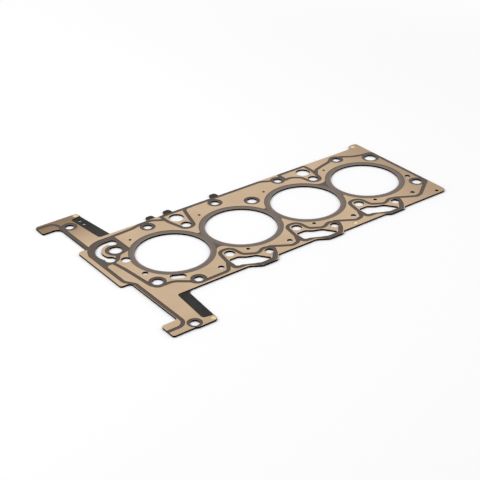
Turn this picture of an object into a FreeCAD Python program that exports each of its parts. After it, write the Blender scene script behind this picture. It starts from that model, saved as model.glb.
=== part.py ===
import FreeCAD, Part
import math
import os

# Head gasket of a four-cylinder engine: two pressed spring-steel sheets with a carrier sheet between.
# Millimetres. The origin is the axis of bore 1 at the bottom face, X runs along the bores, Y to the
# rear, Z up. The head lies on the top face and the block under the bottom face.

# Bores
CYLINDERS = 4
PITCH = 100.0
BORE_RADIUS = 44.0
BORE_FIELD = 7.4
BORE_RING = BORE_RADIUS + BORE_FIELD
WEB_LAP = 0.2

# Places along the engine: the first web, and the last web and bores
FIRST_WEB = PITCH / 2
LAST = PITCH * (CYLINDERS - 1)
LAST_WEB = LAST - PITCH / 2
LAST_BUT_ONE = LAST - PITCH

# Layers
SHEET = 0.30
BEAD = 0.35
CARRIER = 1.00
FLANK = 1.1
BAND = 5.0
LOBE_BAND = 6.2

# Stopper rings beside the bores, and the lip of the upper sheet over them
STOPPER = 0.15
STOPPER_WIDTH = 1.8
STOPPER_GAP = 0.4
LIP_CLEARANCE = 0.5
LIP_SLOPE = 0.5
STOPPER_RADIUS = BORE_RADIUS + STOPPER_WIDTH
LIP_RADIUS = STOPPER_RADIUS + LIP_CLEARANCE

# Bolts, dowels and oil holes
BOLT_Y = 44.0
END_BOLT = 50.0
BOLT_RADIUS = 6.6
BOLT_FIELD = 3.8
DOWEL_RADIUS = 8.0
DOWEL_FIELD = 3.6
OIL_RADIUS = 5.4
OIL_FIELD = 4.3
ARM_FIELD = 3.4
OIL_REAR = (10.0, 67.4)
OIL_FRONT = (-10.0, -66.8)
ARM_HOLES = [(-64.6, -136.3), (-64.6, 124.7)]

# Coolant holes
WINDOW_RADIUS = 9.4
WINDOWS = [(FIRST_WEB, 64.8), (LAST_WEB, 64.8)]
METERING_REAR = (-24.0, 53.3)
METERING_RADIUS = 1.8
METERING_FRONT = (24.0, -62.8)
METERING_RADII = [3.8, 3.3, 3.2, 2.9]
VENT = (73.4, -48.5)
VENT_RADIUS = 2.3
SMALL_HOLES = [(-52.5, 17.3, 6.0), (-51.2, -20.9, 3.6), (LAST + 50.5, -26.3, 3.6), (LAST + 51.5, -78.1, 2.3)]
WEDGE_SLOT = (-25.7, -49.0)
WEDGE_SLOT_LENGTH = 19.0
WEDGE_SLOT_WIDTH = 9.0

# Hook-shaped coolant slot round the left dowel
HOOK_CENTRE = (-50.5, 43.0)
HOOK_RADIUS = 20.2
HOOK_WIDTH = 7.3
HOOK_END_RADIUS = 6.1
HOOK_START = 73.0
HOOK_SWEEP = 145.0

# The narrow raised bead between the hook-shaped slot and the left dowel
BOSS_RADIUS = 15.2
BOSS_WIDTH = 5.2
BOSS_START = 62.0
BOSS_SWEEP = 168.0

# Radii of the round tips of the flat wedges beside each web, front and rear
WEDGE_TIPS = [(8.0, 2.5), (1.3, 2.5), (1.3, 11.5)]

# Outer edges
LEFT = -88.3
RIGHT = LAST + 63.6
FRONT = -79.5
FOOT = -84.0
LOBE = -88.0
LOBE_RISE = 1.59
LOBE_FALL = 0.82
REAR = 80.5
CORNER_TOP = 88.6
ARM_EDGE = -76.4
ARM_TOP = 148.5
ARM_BOTTOM = -145.4
TAB_TOP = 89.6
TABS = [17.3, FIRST_WEB - 7.6, PITCH + 12.7]
TAB_WIDTH = 13.4

# Rivets
RIVET_SHANK = 1.5
RIVET_HEAD = 2.6
RIVET_HEIGHT = 0.25
RIVET_DIMPLE = 4.0
RIVETS = [(-44.6, ARM_TOP - 3.9), (-43.4, ARM_BOTTOM + 4.6)]
RIVETS += [(LAST_BUT_ONE + 13.8, FOOT + 5.6), (LAST + 53.8, CORNER_TOP - 5.2)]

# Thickness code, two holes
CODE_HOLES = [(-46.2, 131.5), (-46.2, 121.8)]
CODE_RADIUS = 2.4

# Heights in the stack
CARRIER_BOTTOM = SHEET + BEAD
CARRIER_TOP = CARRIER_BOTTOM + CARRIER
PRESSED = CARRIER_TOP + SHEET
STACK = PRESSED + BEAD

UP = FreeCAD.Vector(0, 0, 1)
TINY = 0.001


def at(x, y, z=0.0):
    return FreeCAD.Vector(x, y, z)


def row(point, count=CYLINDERS, step=PITCH):
    """Places one step apart along the engine."""
    return [(point[0] + step * index,) + tuple(point[1:]) for index in range(count)]


def webs():
    """The middles of the webs between the bores."""
    return [x for x, y in row((FIRST_WEB, 0.0), CYLINDERS - 1)]


def turned(centre, radius, degrees):
    """The place at this radius and angle round a centre."""
    angle = math.radians(degrees)
    return centre[0] + radius * math.cos(angle), centre[1] + radius * math.sin(angle)


def corner_arc(before, corner, after):
    """The arc that rounds a corner (x, y, radius), as its two ends and its middle."""
    here = at(corner[0], corner[1])
    back = (at(before[0], before[1]) - here).normalize()
    ahead = (at(after[0], after[1]) - here).normalize()
    half = back.getAngle(ahead) / 2
    radius = corner[2] if len(corner) > 2 else 0.0
    if radius == 0.0 or math.pi / 2 - half < TINY:
        return here, here, None
    reach = radius / math.tan(half)
    middle = here + (back + ahead).normalize() * (radius / math.sin(half) - radius)
    return here + back * reach, here + ahead * reach, middle


def rounded(corners, height=0.0):
    """A closed outline through corners (x, y, radius), with an arc at each corner."""
    count = len(corners)
    arcs = []
    for index in range(count):
        after = corners[(index + 1) % count]
        arcs.append(corner_arc(corners[index - 1], corners[index], after))
    edges = []
    for index in range(count):
        start, end, middle = arcs[index]
        if middle:
            edges.append(Part.Arc(start, middle, end).toShape())
        following = arcs[(index + 1) % count][0]
        if end.distanceToPoint(following) > TINY:
            edges.append(Part.makeLine(end, following))
    wire = Part.Wire(edges)
    wire.translate(at(0, 0, height))
    return wire


def circle(x, y, radius, height=0.0):
    return Part.Wire([Part.makeCircle(radius, at(x, y, height))])


def shifted(corners, depth):
    """The corners of an outline drawn anticlockwise, with every side moved inwards by a depth."""
    moved = []
    count = len(corners)
    for index, corner in enumerate(corners):
        here = at(corner[0], corner[1])
        inward = (here - at(*corners[index - 1][:2])).normalize()
        outward = (at(*corners[(index + 1) % count][:2]) - here).normalize()
        across = UP.cross(inward + outward).normalize()
        place = here + across * (depth / across.dot(UP.cross(inward)))
        radius = corner[2] if len(corner) > 2 else 0.0
        if radius > 0.0:
            radius -= depth * math.copysign(1.0, inward.cross(outward).z)
        moved.append((place.x, place.y, radius))
    return moved


def ribbon(path, width=BAND, bend=4.0):
    """The corners of a band of even width along a path, with round bends and round ends."""
    points = [at(*point[:2]) for point in path]
    bends = [point[2] if len(point) > 2 else bend for point in path]
    half = width / 2
    start = (points[0] - points[1]).normalize()
    finish = (points[-1] - points[-2]).normalize()
    left = []
    right = []
    for index in range(1, len(points) - 1):
        inward = (points[index] - points[index - 1]).normalize()
        outward = (points[index + 1] - points[index]).normalize()
        across = UP.cross(inward + outward).normalize()
        reach = across * (half / across.dot(UP.cross(inward)))
        swing = math.copysign(half, inward.cross(outward).z)
        side = points[index] + reach
        left.append((side.x, side.y, bends[index] - swing))
        side = points[index] - reach
        right.append((side.x, side.y, bends[index] + swing))
    ends = []
    for point, ahead in ((points[-1], finish), (points[0], start)):
        tip = point + ahead * half
        aside = UP.cross(ahead) * half
        ends.append([(tip.x + aside.x, tip.y + aside.y, half), (tip.x - aside.x, tip.y - aside.y, half)])
    return right + ends[0][::-1] + left[::-1] + ends[1][::-1]


def arc_path(centre, radius, start, sweep, steps):
    """Path points whose bends follow one arc round a centre."""
    step = sweep / steps
    reach = radius / math.cos(math.radians(step / 2))
    inner = [turned(centre, reach, start + step * (index + 0.5)) for index in range(steps)]
    ends = [turned(centre, radius, start), turned(centre, radius, start + sweep)]
    return [ends[0]] + [point + (radius,) for point in inner] + [ends[1]]


def slope(upper, lower):
    """The sloping side between two edges, flat between lines and conical between arcs."""
    if isinstance(upper.Curve, Part.Line):
        corners = [upper.firstVertex().Point, upper.lastVertex().Point]
        below = [lower.firstVertex().Point, lower.lastVertex().Point]
        if corners[0].distanceToPoint(below[0]) > corners[0].distanceToPoint(below[1]):
            below.reverse()
        return Part.Face(Part.makePolygon([corners[0], corners[1], below[1], below[0], corners[0]]))
    return Part.makeLoft([Part.Wire([lower]), Part.Wire([upper])], False, True).Faces[0]


def tapered(upper, lower):
    """A pressed form between an outline at the top of its flank and one at the foot."""
    sides = [slope(first, second) for first, second in zip(upper.Edges, lower.Edges)]
    shell = Part.makeShell([Part.Face(upper), Part.Face(lower)] + sides)
    shell.sewShape()
    return Part.makeSolid(shell)


def round_form(x, y, radius, depth=FLANK):
    """A round form whose flank goes in by a depth, or out where the depth is negative."""
    return tapered(circle(x, y, radius, STACK), circle(x, y, radius - depth, PRESSED))


def outline_form(corners, depth=FLANK):
    return tapered(rounded(corners, STACK), rounded(shifted(corners, depth), PRESSED))


def prism(outline, bottom, height):
    base = Part.Face(outline)
    base.translate(at(0, 0, bottom - outline.BoundBox.ZMin))
    return base.extrude(at(0, 0, height))


def body_outline():
    """The outer edge of the carrier without its tabs, from the lower left, anticlockwise."""
    front = []
    edges = [FRONT, FRONT, FOOT, FOOT]
    for index, web in enumerate(webs()):
        bore = web + PITCH / 2
        start = web + 1.0 + (FRONT - edges[index]) * LOBE_RISE
        finish = bore - 6.3 - (FRONT - edges[index + 1]) * LOBE_FALL
        front.append((start, edges[index], 8.0))
        front.append((web + 14.5, LOBE, 5.0))
        front.append((bore - 13.3, LOBE, 6.0))
        front.append((finish, edges[index + 1], 3.0))
    lower_hook = [(-96.7, -143.8, 2.5), (-69.0, -143.8, 3.0), (-65.5, ARM_BOTTOM, 3.0)]
    lower_arm = [(-40.1, ARM_BOTTOM, 5.5), (-34.1, FRONT, 8.0)]
    right_side = [(RIGHT, FOOT, 7.0), (RIGHT, CORNER_TOP, 3.5)]
    right_side += [(RIGHT - 12.1, CORNER_TOP, 5.0), (RIGHT - 19.1, REAR, 3.0)]
    upper_arm = [(-34.4, REAR, 3.0), (-41.3, ARM_TOP, 2.5), (-98.7, ARM_TOP, 4.0), (-98.7, 128.3, 2.0)]
    shoulder = [(ARM_EDGE, 128.3, 8.0), (ARM_EDGE, 65.2, 1.5), (LEFT, 65.2, 5.0), (LEFT, -28.7, 3.0)]
    lower_left = [(-75.4, -28.7, 5.0), (-75.4, -120.2, 3.0), (-96.7, -120.2, 4.0)]
    return rounded(lower_hook + lower_arm + front + right_side + upper_arm + shoulder + lower_left)


def bare_strips():
    """The parts of the arms where the carrier shows, because the pressed sheets end short of it."""
    upper = [(-49.8, REAR, 4.0), (-20.0, REAR), (-20.0, 142.6), (-54.9, 138.6, 3.0)]
    lower = [(-48.1, FRONT, 4.0), (-53.0, -134.2, 4.0), (-20.0, -140.0), (-20.0, FRONT)]
    return [rounded(upper), rounded(lower)]


def tab_outlines():
    """Three tabs that the carrier has beyond its rear edge."""
    tabs = []
    for x in TABS:
        corners = [(x, REAR - 1.0), (x + TAB_WIDTH, REAR - 1.0)]
        corners += [(x + TAB_WIDTH - 0.8, TAB_TOP, 3.5), (x + 3.2, TAB_TOP, 4.5)]
        tabs.append(rounded(corners))
    return tabs


def hook_slot():
    """The hook-shaped slot round the left dowel: an arc with a larger round end on each side."""
    path = arc_path(HOOK_CENTRE, HOOK_RADIUS, HOOK_START, HOOK_SWEEP, 4)
    outlines = [rounded(ribbon(path, HOOK_WIDTH))]
    outlines.append(circle(-44.9, 60.9, HOOK_END_RADIUS))
    outlines.append(circle(-66.2, 28.9, HOOK_END_RADIUS))
    return outlines


def port_slot(web):
    """The long oil return slot between a bolt hole and an oil hole of the front row."""
    bore = web + PITCH / 2
    corners = [(web - 10.0, -54.8, 3.0), (web + 3.5, -54.8, 5.0), (web + 11.5, -61.0, 7.0)]
    corners += [(bore - 27.5, -65.0, 7.0), (bore - 22.0, -72.5, 6.0), (bore - 15.5, -81.9, 2.5)]
    corners += [(web + 17.0, -81.9, 8.0), (web + 5.0, -75.9, 8.0), (web - 3.0, -71.9, 10.0)]
    return rounded(corners + [(web - 10.0, -71.9, 3.5)])


def wedge_slot():
    """The oblong coolant slot that runs along bore 1 at the front."""
    towards = math.atan2(WEDGE_SLOT[1], WEDGE_SLOT[0])
    reach = (WEDGE_SLOT_LENGTH - WEDGE_SLOT_WIDTH) / 2
    along = at(-math.sin(towards), math.cos(towards)) * reach
    middle = at(*WEDGE_SLOT)
    path = [middle - along, middle, middle + along]
    return rounded(ribbon([(point.x, point.y) for point in path], WEDGE_SLOT_WIDTH))


def openings():
    """Every hole and slot that goes through all the layers."""
    outlines = [circle(x, 0.0, BORE_RADIUS) for x, y in row((0.0, 0.0))]
    ends = [-END_BOLT, LAST + END_BOLT]
    outlines += [circle(x, -BOLT_Y, BOLT_RADIUS) for x in ends + webs()]
    outlines += [circle(x, BOLT_Y, BOLT_RADIUS) for x in webs()]
    outlines += [circle(x, BOLT_Y, DOWEL_RADIUS) for x in ends]
    for place in row(OIL_REAR) + row(OIL_FRONT) + ARM_HOLES:
        outlines.append(circle(*place, OIL_RADIUS))
    outlines += [circle(*place, WINDOW_RADIUS) for place in WINDOWS]
    outlines += [circle(*place, METERING_RADIUS) for place in row(METERING_REAR)]
    outlines += [circle(*place, radius) for place, radius in zip(row(METERING_FRONT), METERING_RADII)]
    outlines += [circle(*place, VENT_RADIUS) for place in row(VENT, 3)]
    outlines += [circle(*hole) for hole in SMALL_HOLES]
    outlines += [port_slot(web) for web in webs()]
    outlines += hook_slot()
    outlines.append(wedge_slot())
    outlines += [circle(*place, RIVET_SHANK) for place in RIVETS]
    return outlines


def port_bands(web):
    """The sealing band that runs over one bolt hole and one oil hole, and on to the next slot."""
    bore = web + PITCH / 2
    over = [(web - 13.1, -62.0), (web - 13.1, -57.0, 20.0), (web - 8.8, 10.6 - BOLT_Y, 9.0)]
    over += [(web + 8.8, 10.6 - BOLT_Y, 9.0), (web + 10.8, -54.0, 8.0), (bore - 23.5, -63.5, 9.0)]
    over += [(bore - 9.5, -56.2, 8.5), (bore - 2.8, -63.0, 6.0), (bore - 3.0, -66.0)]
    following = web + PITCH
    onward = [(bore - 3.0, -59.5), (bore + 20.0, -73.4, 7.0), (following - 20.0, -71.5, 6.0)]
    onward += [(following - 13.1, -58.0)]
    return [over, onward] if following < LAST else [over]


def lobe_band(web):
    """The wider band under an oil return slot, which fills the lobe up to the outer edge."""
    bore = web + PITCH / 2
    path = [(web - 13.5, -60.0), (web - 13.5, -74.0, 4.5), (web + 2.5, -74.8, 10.0)]
    path += [(web + 15.0, -85.0, 8.0), (bore - 15.8, -85.0, 8.0), (bore - 7.6, -75.2, 8.0)]
    return path + [(bore - 2.8, -66.0, 5.0), (bore - 2.8, -63.0)]


def left_paths():
    """Centre lines of the bands on the arms and round the left end, up to the first web."""
    upper_hook = [(-106.0, 143.1), (-74.0, 143.1, 11.5), (-74.0, 60.0)]
    arm = [(-77.0, 125.0), (-77.0, 66.0)]
    shoulder = [(-80.3, 50.0), (-80.3, -22.0, 6.0), (-72.4, -34.0, 6.0), (-72.4, -133.4, 11.0)]
    shoulder += [(-104.0, -133.4)]
    left = [(-68.6, 24.0), (-64.6, 0.0, 60.0), (-60.3, -46.0, 12.0), (-56.0, -54.0, 6.0)]
    left += [(-36.0, -54.4, 16.0), (-20.5, -66.5, 12.0), (-16.0, -74.6, 8.0)]
    left += [(FIRST_WEB - 23.5, -74.0, 9.0), (FIRST_WEB - 13.1, -58.0)]
    rear = [(-50.0, 72.5), (-30.0, 73.3, 80.0), (-8.0, 74.4, 30.0), (6.0, 77.6, 20.0), (22.0, 77.6, 9.0)]
    rear += [(FIRST_WEB - 14.0, 68.0)]
    return [upper_hook, arm, shoulder, left, rear]


def rear_paths():
    """Centre lines of the bands round the windows and along the rear edge."""
    bolt = BOLT_Y - 8.7
    window = [(FIRST_WEB - 13.8, 79.0), (FIRST_WEB - 13.8, 62.0, 25.0), (FIRST_WEB - 6.9, bolt, 8.2)]
    window += [(FIRST_WEB + 6.9, bolt, 8.2), (FIRST_WEB + 15.3, 64.0, 25.0), (FIRST_WEB + 19.5, 77.9, 8.0)]
    window += [(FIRST_WEB + 30.0, 77.9)]
    edge = [(FIRST_WEB - 14.0, 78.2), (LAST_BUT_ONE - 11.0, 78.2, 12.0), (LAST_BUT_ONE + 4.0, 70.0)]
    second = [(LAST_BUT_ONE + 19.6, 62.0), (LAST_BUT_ONE + 19.6, 78.2, 3.0), (LAST_WEB + 13.0, 78.2, 3.0)]
    second += [(LAST_WEB + 13.0, 60.0, 15.0), (LAST_WEB + 6.9, bolt, 8.0), (LAST_WEB - 2.0, bolt)]
    third = [(LAST_WEB + 2.0, bolt), (LAST_WEB - 6.9, bolt, 8.0), (LAST_WEB - 11.0, 55.0, 8.0)]
    third += [(LAST_WEB - 21.0, 62.6, 9.0), (LAST_BUT_ONE + 16.0, 62.8)]
    last = [(LAST_WEB + 12.0, 52.0), (LAST_WEB + 19.0, 60.4, 12.0), (LAST - 16.0, 64.6, 40.0)]
    last += [(LAST - 2.0, 67.6, 20.0), (LAST + 6.0, 74.0)]
    return [window, edge, second, third, last]


def right_path():
    """Centre line of the band round the right end."""
    path = [(LAST + 12.0, 73.0), (LAST + 20.0, 69.6, 12.0), (LAST + 34.0, 60.6, 20.0)]
    path += [(LAST + 46.0, 56.6, 20.0), (RIGHT - 2.2, 55.0, 6.0), (RIGHT - 2.2, -49.5, 6.0)]
    return path + [(LAST + 29.0, -72.2, 5.0), (LAST + 21.0, -73.6, 6.0), (LAST - 3.0, -60.0)]


def hook_field():
    """The pressed field round the hook slot."""
    left = [(-65.5, 18.0, 3.0), (-70.5, 18.0, 1.5), (-75.5, 18.0, 1.5), (-82.8, 10.0)]
    top = [(-82.8, 75.4, 31.0), (-34.4, 75.4, 7.0), (-34.4, 34.0)]
    bottom = [(-42.5, 32.4), (-51.5, 30.0, 5.0), (-57.5, 22.0, 5.0)]
    return top[::-1] + left[::-1] + bottom[::-1]


def rings():
    """Place and radius of the round sealing fields."""
    places = [(x, 0.0, BORE_RING) for x, y in row((0.0, 0.0))]
    for x, y in ((-END_BOLT, -BOLT_Y), (FIRST_WEB + PITCH, BOLT_Y), (LAST + END_BOLT, -BOLT_Y)):
        places.append((x, y, BOLT_RADIUS + BOLT_FIELD))
    places.append((LAST + END_BOLT, BOLT_Y, DOWEL_RADIUS + DOWEL_FIELD))
    for place in row(OIL_REAR) + [OIL_FRONT, ARM_HOLES[1]]:
        places.append(place + (OIL_RADIUS + OIL_FIELD,))
    places.append(ARM_HOLES[0] + (OIL_RADIUS + ARM_FIELD,))
    places += [place + (RIVET_DIMPLE,) for place in RIVETS]
    return places


def web_form(x, side, tip_radius):
    """The field between two bores, up to the round tip of the flat wedge beside it."""
    half = PITCH / 2
    radius = tip_radius + max(0.0, half - BORE_RING)
    reach = BORE_RING + radius
    tip = side * math.sqrt(reach ** 2 - half ** 2)
    end = tip * BORE_RING / reach
    width = half * radius / reach + WEB_LAP
    corners = [(x - width, 0.0), (x + width, 0.0), (x + width, end), (x - width, end)]
    field = outline_form(corners if side > 0 else corners[::-1], -FLANK)
    return field.cut(round_form(x, tip, radius, -FLANK))


def pressed_form():
    """The sealing fields as one solid, open upwards, with the flats between them left out."""
    forms = [round_form(*place) for place in rings()]
    paths = left_paths() + rear_paths() + [right_path()]
    for web in webs():
        paths += port_bands(web)
        forms.append(outline_form(ribbon(lobe_band(web), LOBE_BAND)))
    forms += [outline_form(ribbon(path)) for path in paths]
    forms.append(outline_form(hook_field()))
    for web, (front, rear) in zip(webs(), WEDGE_TIPS):
        forms.append(web_form(web, 1, rear))
        forms.append(web_form(web, -1, front))
    whole = forms[0].multiFuse(forms[1:]).removeSplitter()
    boss = ribbon(arc_path(HOOK_CENTRE, BOSS_RADIUS, BOSS_START, BOSS_SWEEP, 4), BOSS_WIDTH)
    whole = whole.cut(outline_form(boss, -FLANK))
    for x, y in row((0.0, 0.0)):
        lip = Part.makeCone(LIP_RADIUS + LIP_SLOPE, LIP_RADIUS, STOPPER, at(x, y, PRESSED))
        whole = whole.cut(lip)
    return whole


def cut_openings(blank, bottom, height):
    return blank.cut([prism(outline, bottom, height) for outline in openings()])


def bead_sheet():
    """The upper sheet: a blank pressed down to the carrier at its bands, then cut to its outline."""
    form = pressed_form()
    height = STACK - CARRIER_TOP
    blank = prism(body_outline(), CARRIER_TOP, height)
    blank = blank.cut([prism(strip, CARRIER_TOP, height) for strip in bare_strips()])
    under = prism(body_outline(), CARRIER_TOP, BEAD)
    lowered = form.copy()
    lowered.translate(at(0, 0, -SHEET))
    sheet = blank.cut(under.cut(lowered)).cut(form)
    return cut_openings(sheet, CARRIER_TOP, height).removeSplitter()


def carrier_sheet():
    """The flat sheet in the middle, with the tabs and the thickness code."""
    plate = prism(body_outline(), CARRIER_BOTTOM, CARRIER)
    plate = plate.fuse([prism(tab, CARRIER_BOTTOM, CARRIER) for tab in tab_outlines()])
    plate = plate.cut([prism(circle(*place, CODE_RADIUS), CARRIER_BOTTOM, CARRIER) for place in CODE_HOLES])
    return cut_openings(plate, CARRIER_BOTTOM, CARRIER).removeSplitter()


def stopper_ring(x):
    """A shim round one bore on the carrier, under the lip of the upper sheet, up to half the web."""
    ring = Part.makeCylinder(STOPPER_RADIUS, STOPPER, at(x, 0.0, CARRIER_TOP))
    ring = ring.cut(Part.makeCylinder(BORE_RADIUS, STOPPER, at(x, 0.0, CARRIER_TOP)))
    width = PITCH - STOPPER_GAP
    share = Part.makeBox(width, PITCH * 2, STOPPER, at(x - width / 2, -PITCH, CARRIER_TOP))
    return ring.common(share)


def rivet(x, y):
    """A rivet through all the layers, with its heads sunk in the dimples."""
    shank = Part.makeCylinder(RIVET_SHANK, PRESSED - STACK + PRESSED, at(x, y, STACK - PRESSED))
    heads = []
    for bottom in (STACK - PRESSED - RIVET_HEIGHT, PRESSED):
        heads.append(Part.makeCylinder(RIVET_HEAD, RIVET_HEIGHT, at(x, y, bottom)))
    return shank.fuse(heads).removeSplitter()


def save(name, shape):
    solid = shape.Solids[0] if len(shape.Solids) == 1 else shape
    solid.exportStep("parts/" + name + ".step")


def main():
    os.makedirs("parts", exist_ok=True)
    upper = bead_sheet()
    save("upper_bead_sheet", upper)
    save("lower_bead_sheet", upper.mirror(at(0, 0, STACK / 2), UP))
    save("carrier_sheet", carrier_sheet())
    for index, place in enumerate(row((0.0, 0.0))):
        save("stopper_ring_" + str(index + 1), stopper_ring(place[0]))
    for index, place in enumerate(RIVETS):
        save("corner_rivet_" + str(index + 1), rivet(*place))


if __name__ == "__main__":
    main()
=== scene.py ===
import math

import bpy
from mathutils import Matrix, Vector


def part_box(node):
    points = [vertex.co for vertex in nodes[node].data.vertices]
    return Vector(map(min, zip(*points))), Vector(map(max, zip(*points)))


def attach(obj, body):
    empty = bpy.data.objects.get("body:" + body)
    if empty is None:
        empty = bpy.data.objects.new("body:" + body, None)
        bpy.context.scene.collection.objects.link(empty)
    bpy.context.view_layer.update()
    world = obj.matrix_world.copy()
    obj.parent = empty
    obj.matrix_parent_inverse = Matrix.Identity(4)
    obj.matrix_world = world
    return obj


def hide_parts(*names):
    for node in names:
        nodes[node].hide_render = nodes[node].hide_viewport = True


# Head gasket of a four-cylinder engine, lying flat with its upper bead sheet to the viewer. Metres.
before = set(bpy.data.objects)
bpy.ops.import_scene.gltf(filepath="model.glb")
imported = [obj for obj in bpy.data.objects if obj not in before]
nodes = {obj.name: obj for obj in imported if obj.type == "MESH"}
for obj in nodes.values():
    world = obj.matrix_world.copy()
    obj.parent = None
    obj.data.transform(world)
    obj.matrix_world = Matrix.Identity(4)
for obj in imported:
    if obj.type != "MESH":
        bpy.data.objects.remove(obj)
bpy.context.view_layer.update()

# Heights in the stack
SHEET = 0.0003
UPPER_LOW, UPPER_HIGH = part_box("upper_bead_sheet")
STACK = UPPER_HIGH.z
PRESSED = UPPER_LOW.z + SHEET
LOWER_PRESSED = STACK - PRESSED

# Bores, by the stopper rings round them, and the soft edges of the colours there
STOPPERS = sorted(name for name in nodes if name.startswith("stopper_ring_"))
FIRST_RING_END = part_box(STOPPERS[0])[1].x
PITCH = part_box(STOPPERS[1])[1].x - FIRST_RING_END
LIP_MARGIN = 0.0004
FIELD_WIDTH = 0.0058
LIP_RADIUS = FIRST_RING_END + LIP_MARGIN
FIELD_RADIUS = LIP_RADIUS + FIELD_WIDTH
LIP_EDGE = 0.0004
FIELD_EDGE = 0.002

# Rivets
RIVETS = sorted(name for name in nodes if name.startswith("corner_rivet_"))
RIVET_LOW, RIVET_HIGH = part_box(RIVETS[0])
RIVET_HEAD = (RIVET_HIGH.x - RIVET_LOW.x) / 2
RIVET_HEIGHT = RIVET_HIGH.z - PRESSED
RIVET_SHANK = 0.0015
RIVET_BEVEL = 0.00018
DIMPLE_RADIUS = 0.0042
DIMPLE_EDGE = 0.92
HEAD_SIDES = 48
SHANK_SIDES = 32

# Where the tan coat turns darker, as start, end and share: along Y on the two arms, along X to the right.
# This darkening is painted shade, where less lamp light falls.
UPPER_PAINTED_SHADE = (0.065, 0.150, 0.95)
LOWER_PAINTED_SHADE = (-0.100, -0.150, 0.22)
RIGHT_PAINTED_SHADE = (0.260, 0.370, 0.50)

# Shares of a sheet's pressed height at which its colours begin and are full
RAISED_SHARES = (0.55, 0.95)
# The flank band between FLANK_FOOT and FLANK_TOP takes the painted shade of the bead flanks
FLANK_FOOT = (0.02, 0.25)
FLANK_TOP = (1.0, 0.80)

# Cut edges, which are painted near black as shade: the upward part of a surface's direction under which it
# counts as one, and the soft edge of that
WALL_SLOPE = 0.5
WALL_EDGE = 0.6

# Sealing coat
CLOUD_SHARES = (0.35, 0.65)
COAT_CLOUD = 0.14
# Painted shade on the bead flanks, and how much weaker it is inside the bore fields
FLANK_PAINTED_SHADE_SHARE = 0.85
FIELD_PAINTED_SHADE_LOSS = 0.35
DIMPLE_SHADE = 0.8
COAT_ROUGHNESS = (0.40, 0.56)
COAT_METALLIC = 0.12
COAT_SPECULAR = 0.17
COAT_BUMP = 0.12
BUMP_DEPTH = 0.00005

# Carrier, stopper rings and rivets
CARRIER_ROUGHNESS = 0.55
CARRIER_SPECULAR = 0.18
CARRIER_BUMP = 0.1
STOPPER_METALLIC = 0.8
STOPPER_ROUGHNESS = 0.38
RIVET_METALLIC = 0.45
RIVET_ROUGHNESS = 0.35
RIVET_CLOUD = 0.4

# Light of the pale surroundings on the gasket, and the lamps as place, size and power
SKY_LIGHT = 0.75
LAMP_TARGET = (0.13, 0.0, 0.0)
KEY_LAMP = ((-0.9, 0.9, 1.8), 1.6, 22.0)
FILL_LAMP = ((1.3, -1.0, 1.6), 2.0, 9.0)

# Floor, and the distance over which it fades to white
FLOOR_SIDE = 6.0
FLOOR_GAP = 0.0001
FLOOR_FADE = (0.5, 1.3)
FLOOR_ROUGHNESS = 0.9
FLOOR_SPECULAR = 0.1

# Camera
CAMERA_PLACE = (-0.64914, -0.993761, 0.695105)
CAMERA_TURN = (60.213, 0.358, -37.143)
CAMERA_LENS = 88.885
CAMERA_SENSOR = 36.0
CAMERA_CLIP = 0.01


def rivet_place(name):
    """The middle of a rivet, seen from above."""
    low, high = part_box(name)
    return (low.x + high.x) / 2, (low.y + high.y) / 2, 0.0


def srgb(red, green, blue):
    """A colour given as 0 to 255 on screen, as the linear values that a shader takes."""
    linear = []
    for value in (red, green, blue):
        part = value / 255
        linear.append(part / 12.92 if part <= 0.04045 else ((part + 0.055) / 1.055) ** 2.4)
    return (*linear, 1.0)


TAN = srgb(192, 166, 136)
# A darker tan for the coat's random clouds and for the painted shade towards the arm ends and the right end
TAN_CLOUD_AND_PAINTED_SHADE = srgb(120, 96, 72)
BEAD_GREY = srgb(83, 72, 65)
FIELD_GREY = srgb(106, 96, 89)
# Dark brown painted shade on the bead flanks
FLANK_PAINTED_SHADE_COLOUR = srgb(50, 38, 31)
# Lighter grey painted highlight on the lip at each bore's rim
LIP_PAINTED_HIGHLIGHT = srgb(118, 104, 93)
# Near black painted shade on the upright cut edges
CUT_EDGE_PAINTED_SHADE = srgb(8, 8, 9)
CARRIER_BLACK = srgb(20, 18, 16)
CARRIER_SHEEN = srgb(38, 35, 31)
RIM_STEEL = srgb(150, 145, 138)
RIVET_PALE = srgb(234, 214, 164)
RIVET_RIM = srgb(176, 150, 104)
FLOOR_WHITE = srgb(239, 239, 240)


# Shader node groups

def new_group(name, inputs, outputs):
    """An empty shader group with its sockets, each (name, type, default or None)."""
    group = bpy.data.node_groups.new(name, "ShaderNodeTree")
    for label, kind, value in inputs:
        socket = group.interface.new_socket(label, in_out="INPUT", socket_type=kind)
        if value is not None:
            socket.default_value = value
    for label, kind in outputs:
        group.interface.new_socket(label, in_out="OUTPUT", socket_type=kind)
    start = group.nodes.new("NodeGroupInput")
    end = group.nodes.new("NodeGroupOutput")
    return group, start, end


def add(tree, kind, settings=(), **values):
    """A node with its settings and with values or links for its inputs, where _ stands for a space."""
    node = tree.nodes.new(kind)
    for label, value in dict(settings).items():
        setattr(node, label, value)
    for label, value in values.items():
        socket = node.inputs[int(label[1:])] if label[1:].isdigit() else node.inputs[label.replace("_", " ")]
        if isinstance(value, bpy.types.NodeSocket):
            tree.links.new(value, socket)
        else:
            socket.default_value = value
    return node


def math_node(tree, operation, first, second=0.5):
    return add(tree, "ShaderNodeMath", {"operation": operation}, i0=first, i1=second).outputs[0]


def step_mask(tree, value, low, high):
    """0 below low, 1 above high and smooth between."""
    settings = {"interpolation_type": "SMOOTHSTEP"}
    mask = add(tree, "ShaderNodeMapRange", settings, Value=value, From_Min=low, From_Max=high)
    return mask.outputs["Result"]


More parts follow.
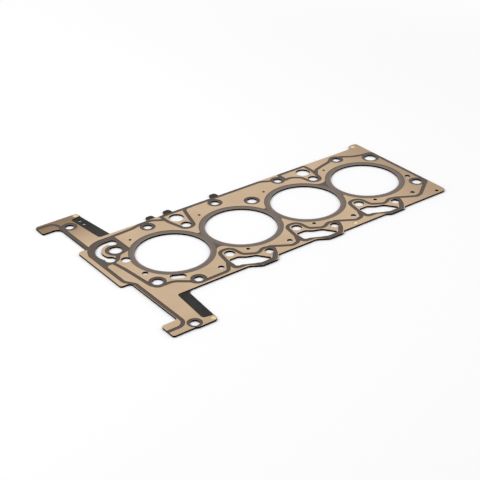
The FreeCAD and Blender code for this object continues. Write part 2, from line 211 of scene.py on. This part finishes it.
def build_wall_mask():
    """The upright cut edges of a sheet, by the slope of the surface."""
    inputs = [("Slope", "NodeSocketFloat", WALL_SLOPE)]
    group, start, end = new_group("Cut edges", inputs, [("Wall", "NodeSocketFloat")])
    facing = add(group, "ShaderNodeNewGeometry").outputs["True Normal"]
    upright = add(group, "ShaderNodeSeparateXYZ", Vector=facing).outputs["Z"]
    level = math_node(group, "ABSOLUTE", upright)
    steep = math_node(group, "MULTIPLY", start.outputs["Slope"], WALL_EDGE)
    group.links.new(step_mask(group, level, start.outputs["Slope"], steep), end.inputs["Wall"])
    return group


def build_height_masks():
    """Where a bead sheet is raised, and the flank between its two heights."""
    inputs = [("Pressed", "NodeSocketFloat", PRESSED), ("Raised", "NodeSocketFloat", STACK)]
    outputs = [("Raised", "NodeSocketFloat"), ("Flank", "NodeSocketFloat")]
    group, start, end = new_group("Pressed height", inputs, outputs)
    place = add(group, "ShaderNodeTexCoord").outputs["Object"]
    height = add(group, "ShaderNodeSeparateXYZ", Vector=place).outputs["Z"]
    depth = math_node(group, "SUBTRACT", height, start.outputs["Pressed"])
    travel = math_node(group, "SUBTRACT", start.outputs["Raised"], start.outputs["Pressed"])
    share = math_node(group, "DIVIDE", depth, travel)
    group.links.new(step_mask(group, share, *RAISED_SHARES), end.inputs["Raised"])
    above = step_mask(group, share, *FLANK_FOOT)
    below = step_mask(group, share, *FLANK_TOP)
    group.links.new(math_node(group, "MULTIPLY", above, below), end.inputs["Flank"])
    return group


def build_coat_grain():
    """The fine grain and the soft clouding of a sprayed and cured sealing coat."""
    inputs = [("Grain Size", "NodeSocketFloat", 900.0), ("Cloud Size", "NodeSocketFloat", 14.0)]
    outputs = [("Grain", "NodeSocketFloat"), ("Cloud", "NodeSocketFloat")]
    group, start, end = new_group("Coat grain", inputs, outputs)
    place = add(group, "ShaderNodeTexCoord").outputs["Object"]
    grain = add(group, "ShaderNodeTexNoise", Vector=place, Scale=start.outputs["Grain Size"], Detail=3.0)
    cloud = add(group, "ShaderNodeTexNoise", Vector=place, Scale=start.outputs["Cloud Size"], Detail=2.0)
    group.links.new(grain.outputs["Fac"], end.inputs["Grain"])
    group.links.new(step_mask(group, cloud.outputs["Fac"], *CLOUD_SHARES), end.inputs["Cloud"])
    return group


def build_bore_field():
    """The sealing field round each bore, and the lip at its rim, by distance from the nearest axis."""
    last = PITCH * (len(STOPPERS) - 1)
    inputs = [("Pitch", "NodeSocketFloat", PITCH), ("Last Bore", "NodeSocketFloat", last)]
    inputs += [("Lip", "NodeSocketFloat", LIP_RADIUS), ("Field", "NodeSocketFloat", FIELD_RADIUS)]
    outputs = [("Field", "NodeSocketFloat"), ("Lip", "NodeSocketFloat")]
    group, start, end = new_group("Bore field", inputs, outputs)
    place = add(group, "ShaderNodeTexCoord").outputs["Object"]
    split = add(group, "ShaderNodeSeparateXYZ", Vector=place)
    nearest = add(group, "ShaderNodeMath", {"operation": "SNAP"}, i1=start.outputs["Pitch"])
    half = math_node(group, "MULTIPLY", start.outputs["Pitch"], 0.5)
    shifted = math_node(group, "ADD", split.outputs["X"], half)
    group.links.new(shifted, nearest.inputs[0])
    first = math_node(group, "MAXIMUM", nearest.outputs[0], 0.0)
    bore = math_node(group, "MINIMUM", first, start.outputs["Last Bore"])
    along = math_node(group, "SUBTRACT", split.outputs["X"], bore)
    apart = add(group, "ShaderNodeCombineXYZ", X=along, Y=split.outputs["Y"]).outputs[0]
    distance = add(group, "ShaderNodeVectorMath", {"operation": "LENGTH"}, i0=apart).outputs["Value"]
    field_edge = math_node(group, "SUBTRACT", start.outputs["Field"], FIELD_EDGE)
    group.links.new(step_mask(group, distance, start.outputs["Field"], field_edge), end.inputs["Field"])
    lip_edge = math_node(group, "ADD", start.outputs["Lip"], LIP_EDGE)
    group.links.new(step_mask(group, distance, lip_edge, start.outputs["Lip"]), end.inputs["Lip"])
    return group


def build_dimples():
    """The round dimples in which the rivets sit, by distance from the nearest rivet."""
    inputs = [(name, "NodeSocketVector", rivet_place(name)) for name in RIVETS]
    inputs.append(("Radius", "NodeSocketFloat", DIMPLE_RADIUS))
    group, start, end = new_group("Rivet dimples", inputs, [("Dimple", "NodeSocketFloat")])
    place = add(group, "ShaderNodeTexCoord").outputs["Object"]
    split = add(group, "ShaderNodeSeparateXYZ", Vector=place)
    level = add(group, "ShaderNodeCombineXYZ", X=split.outputs["X"], Y=split.outputs["Y"]).outputs[0]
    nearest = 1.0
    for name in RIVETS:
        settings = {"operation": "DISTANCE"}
        apart = add(group, "ShaderNodeVectorMath", settings, i0=level, i1=start.outputs[name])
        nearest = math_node(group, "MINIMUM", nearest, apart.outputs["Value"])
    edge = math_node(group, "MULTIPLY", start.outputs["Radius"], DIMPLE_EDGE)
    group.links.new(step_mask(group, nearest, start.outputs["Radius"], edge), end.inputs["Dimple"])
    return group


WALL_MASK = build_wall_mask()
HEIGHT_MASKS = build_height_masks()
COAT_GRAIN = build_coat_grain()
BORE_FIELD = build_bore_field()
DIMPLES = build_dimples()


# Materials

def new_material(name):
    """A node material with its Principled shader."""
    material = bpy.data.materials.new(name)
    material.use_nodes = True
    return material, material.node_tree, material.node_tree.nodes["Principled BSDF"]


def placed_group(tree, group, **values):
    return add(tree, "ShaderNodeGroup", {"node_tree": group}, **values)


def blend_colour(tree, factor, first, second):
    mix = tree.nodes.new("ShaderNodeMix")
    mix.data_type = "RGBA"
    for socket, value in ((mix.inputs[0], factor), (mix.inputs[6], first), (mix.inputs[7], second)):
        if isinstance(value, bpy.types.NodeSocket):
            tree.links.new(value, socket)
        else:
            socket.default_value = value
    return mix.outputs[2]


def roughen(tree, shader, grain, strength):
    """Gives a coat the fine relief of its grain."""
    bump = add(tree, "ShaderNodeBump", Strength=strength, Distance=BUMP_DEPTH, Height=grain)
    tree.links.new(bump.outputs["Normal"], shader.inputs["Normal"])


def coated_sheet(name, pressed, raised):
    """Spring steel with a tan sealing coat on the flats and a dark one in the pressed fields, with painted
    shade on the bead flanks, towards the arm ends, towards the right end and on the cut edges, and a painted
    highlight on the bore lips.
    """
    material, tree, shader = new_material(name)
    masks = placed_group(tree, HEIGHT_MASKS, Pressed=pressed, Raised=raised).outputs
    coat = placed_group(tree, COAT_GRAIN, Grain_Size=1100.0, Cloud_Size=16.0).outputs
    bore = placed_group(tree, BORE_FIELD).outputs
    wall = placed_group(tree, WALL_MASK, Slope=WALL_SLOPE).outputs["Wall"]
    dimple = placed_group(tree, DIMPLES, Radius=DIMPLE_RADIUS).outputs["Dimple"]
    cloud = math_node(tree, "MULTIPLY", coat["Cloud"], COAT_CLOUD)
    place = add(tree, "ShaderNodeTexCoord").outputs["Object"]
    along = add(tree, "ShaderNodeSeparateXYZ", Vector=place).outputs
    # Random clouds of the coat, and painted shade towards the arm ends and the right end
    cloud_and_painted_shade = cloud
    for axis, (begin, full, share) in (("Y", UPPER_PAINTED_SHADE), ("Y", LOWER_PAINTED_SHADE), ("X", RIGHT_PAINTED_SHADE)):
        painted_shade = math_node(tree, "MULTIPLY", step_mask(tree, along[axis], begin, full), share)
        cloud_and_painted_shade = math_node(tree, "MAXIMUM", cloud_and_painted_shade, painted_shade)
    flats = blend_colour(tree, cloud_and_painted_shade, TAN, TAN_CLOUD_AND_PAINTED_SHADE)
    fields = blend_colour(tree, bore["Field"], BEAD_GREY, FIELD_GREY)
    colour = blend_colour(tree, masks["Raised"], fields, flats)
    # Painted shade: the bead flanks are painted dark brown, less so inside the bore fields
    painted_shade_loss = math_node(tree, "MULTIPLY", bore["Field"], FIELD_PAINTED_SHADE_LOSS)
    flank_painted_shade = math_node(tree, "SUBTRACT", FLANK_PAINTED_SHADE_SHARE, painted_shade_loss)
    colour = blend_colour(tree, math_node(tree, "MULTIPLY", masks["Flank"], flank_painted_shade), colour, FLANK_PAINTED_SHADE_COLOUR)
    # Painted highlight: a lighter grey ring on the lip at each bore's rim
    colour = blend_colour(tree, bore["Lip"], colour, LIP_PAINTED_HIGHLIGHT)
    colour = blend_colour(tree, math_node(tree, "MULTIPLY", dimple, DIMPLE_SHADE), colour, TAN)
    # Painted shade: the upright cut edges are painted near black, and below they turn fully metallic so that
    # they stay dark
    colour = blend_colour(tree, wall, colour, CUT_EDGE_PAINTED_SHADE)
    tree.links.new(colour, shader.inputs["Base Color"])
    smooth, dull = COAT_ROUGHNESS
    rough = add(tree, "ShaderNodeMapRange", Value=coat["Grain"], To_Min=smooth, To_Max=dull)
    tree.links.new(rough.outputs["Result"], shader.inputs["Roughness"])
    bare = add(tree, "ShaderNodeMapRange", Value=wall, To_Min=COAT_METALLIC, To_Max=1.0)
    tree.links.new(bare.outputs["Result"], shader.inputs["Metallic"])
    shader.inputs["Specular IOR Level"].default_value = COAT_SPECULAR
    roughen(tree, shader, coat["Grain"], COAT_BUMP)
    return material


def dark_carrier():
    """The carrier's dark phosphate coat, with a faint sheen where it clouds, and painted shade on its cut
    edges.
    """
    material, tree, shader = new_material("Dark carrier")
    coat = placed_group(tree, COAT_GRAIN, Grain_Size=1500.0, Cloud_Size=40.0).outputs
    wall = placed_group(tree, WALL_MASK, Slope=WALL_SLOPE).outputs["Wall"]
    colour = blend_colour(tree, coat["Cloud"], CARRIER_BLACK, CARRIER_SHEEN)
    # Painted shade: the upright cut edges are painted near black and made fully metallic so that they stay
    # dark
    colour = blend_colour(tree, wall, colour, CUT_EDGE_PAINTED_SHADE)
    tree.links.new(colour, shader.inputs["Base Color"])
    tree.links.new(wall, shader.inputs["Metallic"])
    shader.inputs["Specular IOR Level"].default_value = CARRIER_SPECULAR
    shader.inputs["Roughness"].default_value = CARRIER_ROUGHNESS
    roughen(tree, shader, coat["Grain"], CARRIER_BUMP)
    return material


def stopper_steel():
    """Bare rolled steel of the stopper rings, with painted shade on their cut edges."""
    material, tree, shader = new_material("Stopper steel")
    coat = placed_group(tree, COAT_GRAIN, Grain_Size=2200.0, Cloud_Size=60.0).outputs
    wall = placed_group(tree, WALL_MASK, Slope=WALL_SLOPE).outputs["Wall"]
    colour = blend_colour(tree, coat["Cloud"], RIM_STEEL, FIELD_GREY)
    # Painted shade: the upright cut edges are painted near black
    colour = blend_colour(tree, wall, colour, CUT_EDGE_PAINTED_SHADE)
    tree.links.new(colour, shader.inputs["Base Color"])
    shader.inputs["Metallic"].default_value = STOPPER_METALLIC
    shader.inputs["Roughness"].default_value = STOPPER_ROUGHNESS
    return material


def rivet_brass():
    """Pale satin metal of the rivets, with softly darker clouds."""
    material, tree, shader = new_material("Rivet brass")
    coat = placed_group(tree, COAT_GRAIN, Grain_Size=1800.0, Cloud_Size=300.0).outputs
    cloud = math_node(tree, "MULTIPLY", coat["Cloud"], RIVET_CLOUD)
    colour = blend_colour(tree, cloud, RIVET_PALE, RIVET_RIM)
    tree.links.new(colour, shader.inputs["Base Color"])
    shader.inputs["Metallic"].default_value = RIVET_METALLIC
    shader.inputs["Roughness"].default_value = RIVET_ROUGHNESS
    return material


def dress(name, material):
    """Gives a CAD node its material."""
    piece = nodes[name]
    piece.data.materials.clear()
    piece.data.materials.append(material)


# Rivets, by geometry nodes

def geometry_tree(name, inputs):
    """A geometry tree with its sockets, its input node and its output node."""
    tree = bpy.data.node_groups.new(name, "GeometryNodeTree")
    tree.interface.new_socket("Geometry", in_out="INPUT", socket_type="NodeSocketGeometry")
    for label, kind in inputs:
        tree.interface.new_socket(label, in_out="INPUT", socket_type=kind)
    tree.interface.new_socket("Geometry", in_out="OUTPUT", socket_type="NodeSocketGeometry")
    return tree, tree.nodes.new("NodeGroupInput"), tree.nodes.new("NodeGroupOutput")


def rivet_tree():
    """One rivet with a bevelled head above and below, placed at every point."""
    sizes = ["Head Radius", "Head Height", "Bevel", "Shank Radius", "Upper Seat", "Lower Seat"]
    inputs = [(label, "NodeSocketFloat") for label in sizes] + [("Material", "NodeSocketMaterial")]
    tree, start, end = geometry_tree("Rivets", inputs)
    value = start.outputs
    top_radius = math_node(tree, "SUBTRACT", value["Head Radius"], value["Bevel"])
    flat = math_node(tree, "SUBTRACT", value["Head Height"], value["Bevel"])
    upright, turned = (0.0, 0.0, 0.0), (math.pi, 0.0, 0.0)
    parts = []
    for seat, sign, rotation in (("Upper Seat", "ADD", upright), ("Lower Seat", "SUBTRACT", turned)):
        body = add(tree, "GeometryNodeMeshCylinder", Vertices=HEAD_SIDES, Depth=flat)
        tree.links.new(value["Head Radius"], body.inputs["Radius"])
        edge = add(tree, "GeometryNodeMeshCone", Vertices=HEAD_SIDES, Radius_Top=top_radius)
        tree.links.new(value["Head Radius"], edge.inputs["Radius Bottom"])
        tree.links.new(value["Bevel"], edge.inputs["Depth"])
        middle = math_node(tree, sign, value[seat], math_node(tree, "MULTIPLY", flat, 0.5))
        rim = math_node(tree, sign, value[seat], flat)
        for mesh, height, twist in ((body, middle, upright), (edge, rim, rotation)):
            place = add(tree, "ShaderNodeCombineXYZ", Z=height).outputs[0]
            moved = add(tree, "GeometryNodeTransform", Geometry=mesh.outputs["Mesh"], Translation=place)
            moved.inputs["Rotation"].default_value = twist
            parts.append(moved.outputs[0])
    length = math_node(tree, "SUBTRACT", value["Upper Seat"], value["Lower Seat"])
    shank = add(tree, "GeometryNodeMeshCylinder", Vertices=SHANK_SIDES, Depth=length)
    tree.links.new(value["Shank Radius"], shank.inputs["Radius"])
    seats = math_node(tree, "ADD", value["Upper Seat"], value["Lower Seat"])
    centre = math_node(tree, "MULTIPLY", seats, 0.5)
    place = add(tree, "ShaderNodeCombineXYZ", Z=centre).outputs[0]
    moved = add(tree, "GeometryNodeTransform", Geometry=shank.outputs["Mesh"], Translation=place)
    parts.append(moved.outputs[0])
    joined = tree.nodes.new("GeometryNodeJoinGeometry")
    for part in parts:
        tree.links.new(part, joined.inputs[0])
    spread = add(tree, "GeometryNodeInstanceOnPoints", Points=value["Geometry"], Instance=joined.outputs[0])
    real = add(tree, "GeometryNodeRealizeInstances", Geometry=spread.outputs[0])
    finish = add(tree, "GeometryNodeSetMaterial", Geometry=real.outputs[0], Material=value["Material"])
    tree.links.new(finish.outputs[0], end.inputs[0])
    return tree


def grown(name, points, tree, values):
    """The plain mesh object that a geometry tree makes of points."""
    seed = bpy.data.meshes.new(name + " points")
    seed.from_pydata(points, [], [])
    grower = bpy.data.objects.new(name + " points", seed)
    bpy.context.scene.collection.objects.link(grower)
    modifier = grower.modifiers.new(name, "NODES")
    modifier.node_group = tree
    for item in tree.interface.items_tree:
        if item.in_out == "INPUT" and item.name in values:
            modifier[item.identifier] = values[item.name]
    bpy.context.view_layer.update()
    evaluated = grower.evaluated_get(bpy.context.evaluated_depsgraph_get())
    mesh = bpy.data.meshes.new_from_object(evaluated)
    grower.modifiers.clear()
    bpy.data.objects.remove(grower)
    mesh.name = name
    piece = bpy.data.objects.new(name, mesh)
    bpy.context.scene.collection.objects.link(piece)
    return piece


def make_rivets(material):
    values = {"Head Radius": RIVET_HEAD, "Head Height": RIVET_HEIGHT, "Bevel": RIVET_BEVEL}
    values.update({"Shank Radius": RIVET_SHANK, "Upper Seat": PRESSED, "Lower Seat": LOWER_PRESSED})
    values["Material"] = material
    points = [rivet_place(name) for name in RIVETS]
    piece = grown("corner_rivets", points, rivet_tree(), values)
    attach(piece, "root")
    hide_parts(*RIVETS)


# Studio

def background_rays(tree):
    """1 for the rays that show the background to the camera, in a reflection or through glass."""
    rays = add(tree, "ShaderNodeLightPath").outputs
    seen = math_node(tree, "MAXIMUM", rays["Is Camera Ray"], rays["Is Glossy Ray"])
    return math_node(tree, "MAXIMUM", seen, rays["Is Transmission Ray"])


def make_floor():
    """A pale floor that keeps the gasket's shadow and fades to the white of the surroundings."""
    mesh = bpy.data.meshes.new("Floor")
    side = FLOOR_SIDE
    corners = [(-side, -side), (side, -side), (side, side), (-side, side)]
    mesh.from_pydata([(x, y, -FLOOR_GAP) for x, y in corners], [], [(0, 1, 2, 3)])
    floor = bpy.data.objects.new("Floor", mesh)
    bpy.context.scene.collection.objects.link(floor)
    material, tree, shader = new_material("Pale floor")
    shader.inputs["Base Color"].default_value = FLOOR_WHITE
    shader.inputs["Roughness"].default_value = FLOOR_ROUGHNESS
    shader.inputs["Specular IOR Level"].default_value = FLOOR_SPECULAR
    place = add(tree, "ShaderNodeTexCoord").outputs["Object"]
    distance = add(tree, "ShaderNodeVectorMath", {"operation": "LENGTH"}, i0=place).outputs["Value"]
    fade = math_node(tree, "MULTIPLY", step_mask(tree, distance, *FLOOR_FADE), background_rays(tree))
    white = add(tree, "ShaderNodeEmission", Strength=1.0)
    blend = add(tree, "ShaderNodeMixShader", i0=fade, i1=shader.outputs[0], i2=white.outputs[0])
    tree.links.new(blend.outputs[0], tree.nodes["Material Output"].inputs["Surface"])
    mesh.materials.append(material)


def area_lamp(name, place, size, power):
    """A soft square lamp that looks at the gasket."""
    data = bpy.data.lights.new(name, "AREA")
    data.energy = power
    data.size = size
    lamp = bpy.data.objects.new(name, data)
    lamp.location = place
    away = lamp.location - Vector(LAMP_TARGET)
    lamp.rotation_euler = away.to_track_quat("Z", "Y").to_euler()
    bpy.context.scene.collection.objects.link(lamp)


def make_light():
    world = bpy.data.worlds.new("Studio")
    bpy.context.scene.world = world
    world.use_nodes = True
    tree = world.node_tree
    back = tree.nodes["Background"]
    back.inputs["Color"].default_value = (1.0, 1.0, 1.0, 1.0)
    strength = add(tree, "ShaderNodeMapRange", Value=background_rays(tree), To_Min=SKY_LIGHT, To_Max=1.0)
    tree.links.new(strength.outputs["Result"], back.inputs["Strength"])
    area_lamp("Key lamp", *KEY_LAMP)
    area_lamp("Fill lamp", *FILL_LAMP)


def make_camera():
    data = bpy.data.cameras.new("Camera")
    data.lens = CAMERA_LENS
    data.sensor_width = CAMERA_SENSOR
    data.clip_start = CAMERA_CLIP
    camera = bpy.data.objects.new("Camera", data)
    camera.location = CAMERA_PLACE
    camera.rotation_euler = [math.radians(angle) for angle in CAMERA_TURN]
    bpy.context.scene.collection.objects.link(camera)
    bpy.context.scene.camera = camera


dress("upper_bead_sheet", coated_sheet("Upper sealing coat", PRESSED, STACK))
dress("lower_bead_sheet", coated_sheet("Lower sealing coat", LOWER_PRESSED, 0.0))
dress("carrier_sheet", dark_carrier())
bare_steel = stopper_steel()
for name in STOPPERS:
    dress(name, bare_steel)
make_rivets(rivet_brass())

make_floor()
make_light()
make_camera()
bpy.context.scene.view_settings.view_transform = "Standard"
